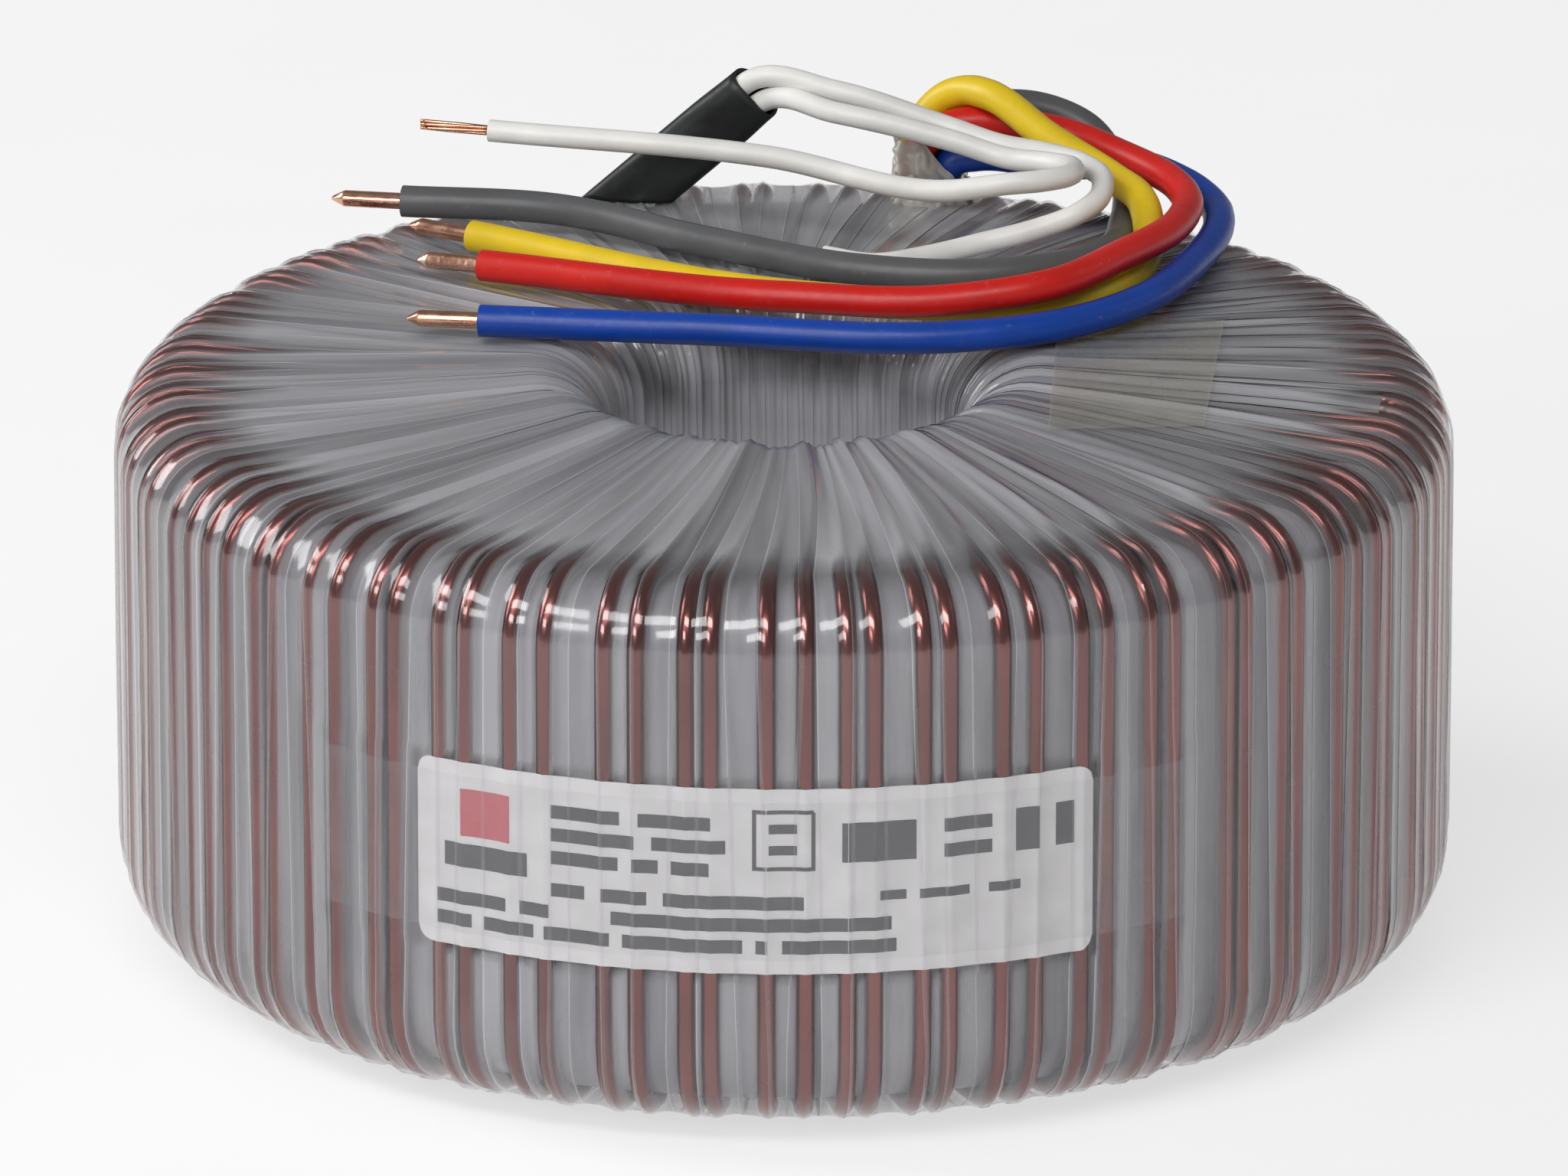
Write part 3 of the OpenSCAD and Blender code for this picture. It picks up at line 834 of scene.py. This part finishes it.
def on_wall(x, y, depth):
    """A point by its place on the label, under the crests and rippled by the wires behind."""
    degrees = LABEL_TURN + math.degrees(x / OUTER_R)
    ripple = wire_relief(SIDE_ROW, degrees, OUTER_R) * LABEL_RELIEF
    return polar(OUTER_R - FILM_INSET - depth - ripple, LABEL_Z + y, degrees)


def border_look(i, j, columns, rows):
    return BORDER if i in (0, columns - 1) or j in (0, rows - 1) else PLAIN


def rounded_outline_half(x, half_w, half_h, corner):
    """Half the height of a rounded rectangle at x."""
    over = abs(x) - (half_w - corner)
    if over <= 0:
        return half_h
    return half_h - corner + math.sqrt(max(corner * corner - over * over, 0))


def wall_sheet(name, width, height, corner, depth, material, columns, rows):
    """A sheet on the side wall that follows the wires under it, with finer columns at its ends."""
    points, uvs, looks = [], [], []
    for j in range(rows):
        for i in range(columns):
            even, crowded = i / (columns - 1) - 0.5, -math.cos(math.pi * i / (columns - 1)) / 2
            x = width * (even * (1 - END_CROWDING) + crowded * END_CROWDING)
            half = rounded_outline_half(x, width / 2, height / 2, corner)
            y = math.copysign(abs(2 * j / (rows - 1) - 1) ** 0.6, 2 * j - rows + 1) * half
            points.append(on_wall(x, y, depth))
            uvs.append((x / UV_UNIT, y / UV_UNIT))
            looks.append(border_look(i, j, columns, rows))
    return add_mesh(name, points, grid_faces(rows, columns), material, uvs, looks)


def paper_material():
    """White paper with faint fibres."""
    n = Nodes("label_paper")
    fibre = n.streaks(400, 400, 4, 0.6)
    cloud = n.streaks(14, 20)
    tone = n.mix(n.ramp(cloud, 0.35, 0.65), (0.60, 0.60, 0.59), (0.67, 0.67, 0.66))
    tone = n.mix(n.ramp(fibre, 0.4, 0.8, 0.0, 0.2), tone, (0.6, 0.6, 0.6))
    return n.principled(Base_Color=tone, Roughness=0.5,
                        Normal=n.bump(fibre, 0.1, 0.00005))


def ink_material(name, low, high):
    n = Nodes(name)
    wear = n.streaks(300, 300, 4, 0.7)
    tone = n.mix(n.ramp(wear, 0.45, 0.7), low, high)
    return n.principled(Base_Color=tone, Roughness=0.55)


label = wall_sheet("label_sheet", LABEL_W, LABEL_H, LABEL_CORNER, LABEL_DEPTH,
                   paper_material(), 300, 16)
finish_piece(label, "label_paper", "label")


LINE_H, SMALL_H = 1.7, 1.2
INK_STEP = 0.3


def build_print():
    """Plain bars in place of the label's print: (x, y, width, height) from its middle."""
    bars = []
    lines = [(6.3, (-24.5, 8.6), (-13.6, 8.8)), (3.4, (-24.5, 10.4), (-12.0, 9.0)),
             (0.5, (-24.5, 8.4), (-14.4, 3.2), (-9.6, 4.6)),
             (-3.6, (-24.5, 4.2), (-18.2, 5.6), (-10.6, 17.0)),
             (-6.4, (-39.6, 9.2), (-28.6, 3.8), (-17.0, 34.0)),
             (-9.2, (-39.6, 4.6), (-33.4, 6.6), (-25.4, 8.2), (-15.6, 14.6), (0.6, 1.4),
              (3.8, 13.8))]
    for y, *words in lines:
        bars += [(x, y, w, LINE_H) for x, w in words]
    bars += [(x, -2.6, w, SMALL_H) for x, w in ((15.6, 3.2), (20.4, 6.2), (29.0, 4.0))]
    bars += [(0.2, 8.6, 7.4, 0.5), (0.2, 1.4, 7.4, 0.5), (0.2, 1.4, 0.5, 7.4),
             (7.3, 1.4, 0.5, 7.4), (2.2, 6.1, 3.4, SMALL_H), (2.2, 3.4, 3.4, SMALL_H),
             (11.0, 2.4, 9.0, 5.0), (23.4, 5.6, 6.0, LINE_H), (23.4, 2.4, 6.0, LINE_H),
             (32.4, 2.2, 3.0, 5.4), (37.6, 2.2, 2.4, 5.4), (-38.6, -1.6, 11.0, 3.0)]
    grey = ink_material("grey_ink", (0.035, 0.035, 0.04), (0.07, 0.07, 0.075))
    red = ink_material("red_ink", (0.46, 0.07, 0.09), (0.56, 0.11, 0.12))
    for name, shapes, material in (("label_bars", bars, grey),
                                   ("label_block", [(-36.4, 2.4, 6.6, 6.0)], red)):
        points, faces, uvs = [], [], []
        for x, y, w, h in shapes:
            columns = max(int(w / INK_STEP), 2) + 1
            start = len(points)
            for j in range(2):
                for i in range(columns):
                    px, py = x + w * i / (columns - 1), y + h * j
                    points.append(on_wall(px, py, INK_DEPTH))
                    uvs.append((px / UV_UNIT, py / UV_UNIT))
            faces += grid_faces(2, columns, start=start)
        finish_piece(add_mesh(name, points, faces, material, uvs), "label_paper")


build_print()


TAPE_GLOSS = 0.035


def tape_material(name, tint, amount, through, edge=0.0, rough=0.08):
    """Clear tape: the tint and amount of its haze, its colour seen through, its edge's haze."""
    n = Nodes(name)
    cloud = n.streaks(20, 20, 3, 0.6)
    streak = n.streaks(60, 8, 4, 0.6)
    haze = n.ramp(cloud, 0.3, 0.7, amount * 0.5, amount * 1.5)
    if edge:
        haze = n.plus(haze, n.times(n.look(2), edge), clamp=True)
    normal = n.bump(n.plus(cloud, n.times(streak, 0.4)), 0.5, 0.0003)
    body = n.add("BsdfPrincipled", Base_Color=tint, Roughness=0.35, Normal=normal)
    return clear_film(n, haze, body, normal, n.ramp(streak, 0.3, 0.7, rough, rough + 0.13),
                      TAPE_GLOSS, through)


carrier = tape_material("carrier_tape", (0.6, 0.6, 0.62), 0.04, (0.99, 0.99, 0.99), 0.12)
label_tape = wall_sheet("label_carrier_tape", LABEL_TAPE_W, LABEL_TAPE_H, 0.5, CARRIER_DEPTH,
                        carrier, 380, 8)
finish_piece(label_tape, "clear_tape", "label_tape")


# --- tape patch on the top
def top_height(r):
    """Height of the film's crest line on the top face at radius r."""
    inner, outer = BORE_R + HUB_R, OUTER_R - RIM_TOP_R
    return HEIGHT - STEP * min(max((r - inner) / (outer - inner), 0), 1)


# Near left, near right, far left and far right.
PATCH_CORNERS = [Vector((32.0, -25.5)), Vector((51.0, -22.5)),
                 Vector((34.0, 18.5)), Vector((54.5, 17.5))]
PATCH_DEPTH = 0.02


def build_patch():
    """A four-sided patch of tape on the crests, with small creases."""
    a, b, c, d = PATCH_CORNERS
    columns, rows = 46, 90
    points, uvs, looks = [], [], []
    for j in range(rows):
        for i in range(columns):
            u, v = i / (columns - 1), j / (rows - 1)
            at = (a * (1 - u) + b * u) * (1 - v) + (c * (1 - u) + d * u) * v
            r = at.length
            crease = abs(wave_at(at.x * 0.12, at.y * 0.3, 3.0))
            fold = wave_at(at.x * 0.4, at.y * 0.8, 9.0)
            lift = 0.02 + 0.10 * max(fold, 0) + 0.12 * crease
            points.append(Vector((at.x, at.y, top_height(r) - PATCH_DEPTH + lift)))
            uvs.append((at.x / UV_UNIT, at.y / UV_UNIT))
            looks.append(border_look(i, j, columns, rows))
    material = tape_material("clear_patch", (0.5, 0.49, 0.42), 0.14, (0.96, 0.95, 0.90), 0.35,
                             0.24)
    return add_mesh("tape_patch_sheet", points, grid_faces(rows, columns), material, uvs, looks)


finish_piece(build_patch(), "clear_tape", "tape_patch")


# --- bare ends
# A solid end: its scraped flats, how deep they and their nicks go, and the pinched tip.
FLATS, FLAT_DEPTH, NICK_DEPTH = 3, 0.93, 0.10
PINCH_L, TIP_W, TIP_H = 1.5, 0.55, 0.2
# A stranded end: strands round one in the middle, their turn, and how they spread and stagger.
STRANDS, STRAND_TURN, STRAND_SPREAD, STRAND_STAGGER = 6, 0.9, 0.12, 0.025


def scraped_copper():
    n = Nodes("scraped_copper")
    at = n.place()
    marks = n.noise(at, 800, 3, 0.5)
    cloud = n.noise(at, 250, 3, 0.5)
    tone = n.mix(n.ramp(cloud, 0.3, 0.7), (0.52, 0.24, 0.15), (0.78, 0.46, 0.33))
    return n.principled(Base_Color=tone, Metallic=1.0,
                        Roughness=n.ramp(marks, 0.3, 0.7, 0.2, 0.34),
                        Normal=n.bump(marks, 0.25, 0.00008))


scraped = scraped_copper()


def basis_at(route):
    """The end of a route, its direction, and the two directions across it."""
    last, before = Vector(route[-1]), Vector(route[-2])
    along = (last - before).normalized()
    side = along.cross(Vector((0, 0, 1))).normalized()
    return last, along, side, side.cross(along)


def solid_end(name, route, seed):
    """A bared solid wire: scraped into flats, and pinched to a blunt point by the cutters."""
    at, along, side, over = basis_at(route)
    sides, rings = 30, 40
    draw = random.Random(seed)
    flats = [draw.uniform(0, math.tau) for _ in range(FLATS)]
    points = []
    for k in range(rings + 1):
        t = k / rings * BARE_L
        left = (BARE_L - t) / PINCH_L
        nick = max(wave_at(t * 2.1, seed, 0.0), 0.0)
        for j in range(sides):
            a = math.tau * j / sides
            reach = WIRE_R
            for f in flats:
                c = math.cos(a - f)
                if c > 0:
                    reach = min(reach, (WIRE_R * (FLAT_DEPTH - NICK_DEPTH * nick)) / c)
            x, y = reach * math.cos(a), reach * math.sin(a)
            if left < 1:
                x, y = x * (TIP_W + (1 - TIP_W) * left), y * (TIP_H + (1 - TIP_H) * left)
            points.append(at + along * t + side * x + over * y)
    return add_mesh(name, points, tube_faces(rings + 1, sides), scraped)


def stranded_end(name, route, seed):
    """Strands with a little twist round one in the middle."""
    at, along, side, over = basis_at(route)
    points, faces = [], []
    for k in range(STRANDS + 1):
        path = []
        for i in range(13):
            t = i / 12
            a = math.tau * k / STRANDS + t * STRAND_TURN + seed
            spread = 0.95 * STRAND_D * (1 + STRAND_SPREAD * t) if k < STRANDS else 0
            length = BARE_L * (1 - STRAND_STAGGER * (k % 3))
            path.append(at + along * (t * length) + side * (spread * math.cos(a))
                        + over * (spread * math.sin(a)))
        more, quads = tube_mesh(path, STRAND_D / 2, 10, start=len(points))
        points += more
        faces += quads
    return add_mesh(name, points, faces, scraped)


# --- black sleeve
SLEEVE_HALF_W, SLEEVE_HALF_H, SLEEVE_WALL = 3.98, 1.62, 0.42
MOUTH_NARROWER, MOUTH_THICKER = 0.2, 0.4
FOOT_DEPTH = 0.25


def sleeve_material():
    n = Nodes("black_sleeving")
    at = n.place()
    weave = n.noise(at, 1200, 3, 0.6)
    cloud = n.noise(at, 120, 3)
    tone = n.mix(n.ramp(cloud, 0.3, 0.7), (0.006, 0.007, 0.007), (0.014, 0.016, 0.016))
    return n.principled(Base_Color=tone, Specular_IOR_Level=0.4,
                        Roughness=n.ramp(weave, 0.3, 0.7, 0.36, 0.5),
                        Normal=n.bump(n.plus(cloud, n.times(weave, 0.1)), 0.3, 0.0003))


def build_sleeve():
    """A flattened tube whose foot is cut where it comes out of the top of the film."""
    thin = SLEEVE_WAY.cross(across_sleeve()).normalized()
    wide = thin.cross(SLEEVE_WAY).normalized()
    away = math.copysign(1.0, thin.y)
    sides, rings = 56, 26
    points = []
    for wall in (0.0, SLEEVE_WALL):
        for k in range(rings + 1):
            t = k / rings
            half_w = SLEEVE_HALF_W - MOUTH_NARROWER * ease((t - 0.7) / 0.3) - wall
            half_h = SLEEVE_HALF_H + MOUTH_THICKER * ease(t / 0.45) - wall
            for j in range(sides):
                a = math.tau * j / sides
                c, s = math.cos(a), math.sin(a)
                x = half_w * math.copysign(abs(c) ** 0.75, c)
                y = half_h * math.copysign(abs(s) ** 0.9, s)
                y *= 1 + 0.10 * wave_at(x * 0.5, t * 5, y)
                foot = SLEEVE_FROM + wide * x + thin * y
                drop = top_height(foot.xy.length) - FOOT_DEPTH - foot.z
                foot += SLEEVE_WAY * (drop / SLEEVE_WAY.z)
                reach = SLEEVE_L - 0.25 * math.cos(2 * a) + 0.45 * y * away
                mouth = SLEEVE_FROM + SLEEVE_WAY * reach + wide * x + thin * y
                points.append(foot + (mouth - foot) * t)
    faces = grid_faces(rings + 1, sides, close_columns=True)
    inner = (rings + 1) * sides
    faces += [f[::-1] for f in grid_faces(rings + 1, sides, close_columns=True, start=inner)]
    for j in range(sides):
        k = (j + 1) % sides
        top_out, top_in = rings * sides, inner + rings * sides
        faces.append((top_out + j, top_out + k, top_in + k, top_in + j))
        faces.append((inner + j, inner + k, k, j))
    return add_mesh("primary_sleeve_tube", points, faces, sleeve_material())


sleeve = finish_piece(build_sleeve(), "black_sleeve", "primary_sleeve")


# --- clear wrap round the leads
WRAP_FOOT_Z, WRAP_H, WRAP_SLANT = 66.5, 13.2, 5.2
WRAP_HALF, WRAP_FLARE, SQUARENESS = LEAD_D + 0.3, 1.1, 0.65


def build_wrap():
    """Crumpled film round the square of four leads, lower on the right, flared at its foot."""
    sides, rings = 110, 60
    points, uvs = [], []
    for k in range(rings + 1):
        t = k / rings
        for j in range(sides):
            a = math.tau * j / sides
            c, s = math.cos(a), math.sin(a)
            z = WRAP_FOOT_Z + (WRAP_H - WRAP_SLANT * ease(c + 0.3)) * t
            square = 1 / max(abs(c), abs(s)) ** SQUARENESS
            crumple = wave_at(c * 2.6, s * 2.6, z * 0.3)
            crease = abs(wave_at(c * 4.5, s * 4.5, z * 0.55 + 7))
            r = WRAP_HALF * square * (1.02 + 0.03 * crumple + 0.2 * crease)
            r += WRAP_FLARE * (1 - t) ** 2
            r += 0.5 * ease((t - 0.6) / 0.4) * crumple
            points.append(Vector((EXIT.x + r * c + 0.3 * t, EXIT.y + r * s,
                                  z + 1.1 * crumple * t)))
            uvs.append((j / sides * 0.3, t * 0.1))
    material = tape_material("lead_film", (0.50, 0.48, 0.43), 0.72, (0.84, 0.84, 0.78))
    return add_mesh("lead_wrap_film", points, grid_faces(rings + 1, sides, close_columns=True),
                    material, uvs)


wrap = finish_piece(build_wrap(), "outer_film", "lead_wrap")


# --- the six leads
WHITE = (0.80, 0.79, 0.76)
# Name, diameter, colour, roughness, material slot, and the pieces that lie round its exit.
LEADS = [("red", LEAD_D, (0.62, 0.010, 0.005), 0.38, "red_sleeve", [wrap]),
         ("yellow", LEAD_D, (0.78, 0.55, 0.012), 0.38, "yellow_sleeve", []),
         ("blue", LEAD_D, (0.0015, 0.050, 0.35), 0.38, "blue_sleeve", []),
         ("grey", LEAD_D, (0.098, 0.100, 0.104), 0.40, "grey_sleeve", []),
         ("white_a", WHITE_D, WHITE, 0.38, "white_insulation", [sleeve]),
         ("white_b", WHITE_D, WHITE, 0.38, "white_insulation", [])]
for seed, (name, diameter, colour, roughness, slot, others) in enumerate(LEADS):
    route = ROUTES[name]
    material = insulation(f"{name}_plastic", colour, roughness)
    lead, length = cord_curve(f"lead_{name}_curve", route, diameter, material)
    finish_piece(lead, slot, f"lead_{name}")
    maker = stranded_end if name.startswith("white") else solid_end
    bare = finish_piece(maker(f"bare_{name}_end", route, seed), "bare_copper", f"bare_{name}")


# --- CAD nodes that stay
def carried(name, low, high, metallic, roughness, scale):
    """A plain material with fine rings, for the solids that nothing shows."""
    n = Nodes(name)
    at = n.place()
    cloud = n.noise(at, scale, 4, 0.6)
    lines = n.add("TexWave", {"wave_type": "RINGS", "rings_direction": "Z"},
                  Vector=at, Scale=400.0, Distortion=2.0, Detail=2.0)
    tone = n.mix(n.ramp(cloud, 0.3, 0.7), low, high)
    rough = n.ramp(cloud, 0.3, 0.7, roughness - 0.08, roughness + 0.08)
    return n.principled(Base_Color=tone, Metallic=metallic,
                        Roughness=rough, Normal=n.bump(lines, 0.2, 0.0002))


for name, material in (
        ("core", carried("strip_steel", (0.3, 0.31, 0.33), (0.45, 0.46, 0.48), 1.0, 0.4, 120)),
        ("core_film", carried("core_wrap", (0.5, 0.47, 0.36), (0.62, 0.58, 0.46), 0.0, 0.4, 80)),
        ("primary_winding", carried("primary_wire", (0.38, 0.14, 0.07), (0.55, 0.24, 0.13),
                                    0.8, 0.35, 150))):
    slots = nodes[name].data.materials
    slots.clear()
    slots.append(material)


# --- floor, light and world
FLOOR_HALF = 6000
FLOOR_DROP = 0.00002
FLOOR_GLOW = 0.65
WORLD_STRENGTH = 0.2
AIM = (0, 0, 0.05)
# Name, place, what it faces, width, height (metres) and power (watts).
LAMPS = [("front_softbox", (-0.3, -1.05, 1.28), AIM, 1.5, 0.4, 15),
         ("front_fill", (-0.85, -1.5, 0.9), (0, 0, 0.06), 1.0, 0.35, 9),
         ("left", (-1.35, 0.35, 0.75), AIM, 0.6, 0.9, 11),
         ("right", (1.4, 0.3, 0.8), AIM, 0.6, 0.9, 0.6)]


def floor_material():
    """A pale floor that keeps the shadow, and glows to the camera and in reflections."""
    n = Nodes("studio_floor")
    speck = n.noise(n.place(), 30, 3)
    tone = n.mix(n.ramp(speck, 0.3, 0.7), (0.93, 0.93, 0.93), (0.96, 0.96, 0.96))
    body = n.add("BsdfPrincipled", Base_Color=tone, Roughness=0.9, Specular_IOR_Level=0.1)
    white = n.add("Emission", Color=(1, 1, 1), Strength=1.0)
    path = n.tree.nodes.new("ShaderNodeLightPath")
    seen = n.math("MAXIMUM", path.outputs["Is Camera Ray"], path.outputs["Is Glossy Ray"])
    seen = n.math("MAXIMUM", seen, path.outputs["Is Transmission Ray"])
    return n.output(n.add("MixShader", i0=n.times(seen, FLOOR_GLOW), i1=body, i2=white))


corners = [(x * FLOOR_HALF, y * FLOOR_HALF, 0) for x, y in ((-1, -1), (1, -1), (1, 1), (-1, 1))]
floor = add_mesh("floor", corners, [(0, 1, 2, 3)], floor_material())
floor.location.z = -FLOOR_DROP


def area_light(name, place, target, width, height, power):
    data = bpy.data.lights.new(name, "AREA")
    data.shape, data.size, data.size_y, data.energy = "RECTANGLE", width, height, power
    obj = add_object(name, data)
    obj.location = place
    obj.rotation_euler = (Vector(target) - Vector(place)).to_track_quat("-Z", "Y").to_euler()


for lamp in LAMPS:
    area_light(*lamp)

world = bpy.data.worlds.new("studio")
scene.world = world
world.use_nodes = True
background = world.node_tree.nodes["Background"]
background.inputs["Color"].default_value = (1, 1, 1, 1)
background.inputs["Strength"].default_value = WORLD_STRENGTH
scene.view_settings.view_transform = "Standard"
